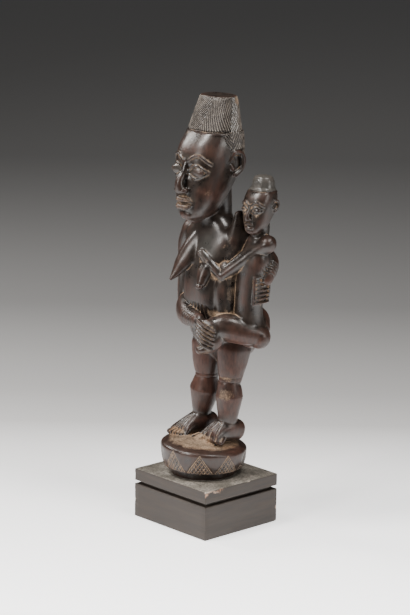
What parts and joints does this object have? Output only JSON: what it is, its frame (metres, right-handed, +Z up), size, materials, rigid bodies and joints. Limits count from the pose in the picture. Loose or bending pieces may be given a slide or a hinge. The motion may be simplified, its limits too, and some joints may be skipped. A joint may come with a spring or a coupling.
{
  "type": "african maternity figure",
  "caption": "Carved dark wooden mother and child standing on a round lined base, resting on a square wooden plinth with a groove round it.",
  "frame": {"origin": "middle of the plinth's flat underside, on the surface that it stands on", "axes": "+Z up, -Y the way the mother and the plinth face, +X towards her own left, where the child sits"},
  "size_m": [0.0923, 0.0728, 0.3182],
  "materials": {
    "figure_wood": "polished dark patina with worn red-brown places and ochre in the cuts",
    "plinth_wood": "matt dark grey-brown stain, dusty on top"
  },
  "bodies": {
    "root": {"figure": "figure_wood", "plinth": "plinth_wood"}
  },
  "joints": []
}
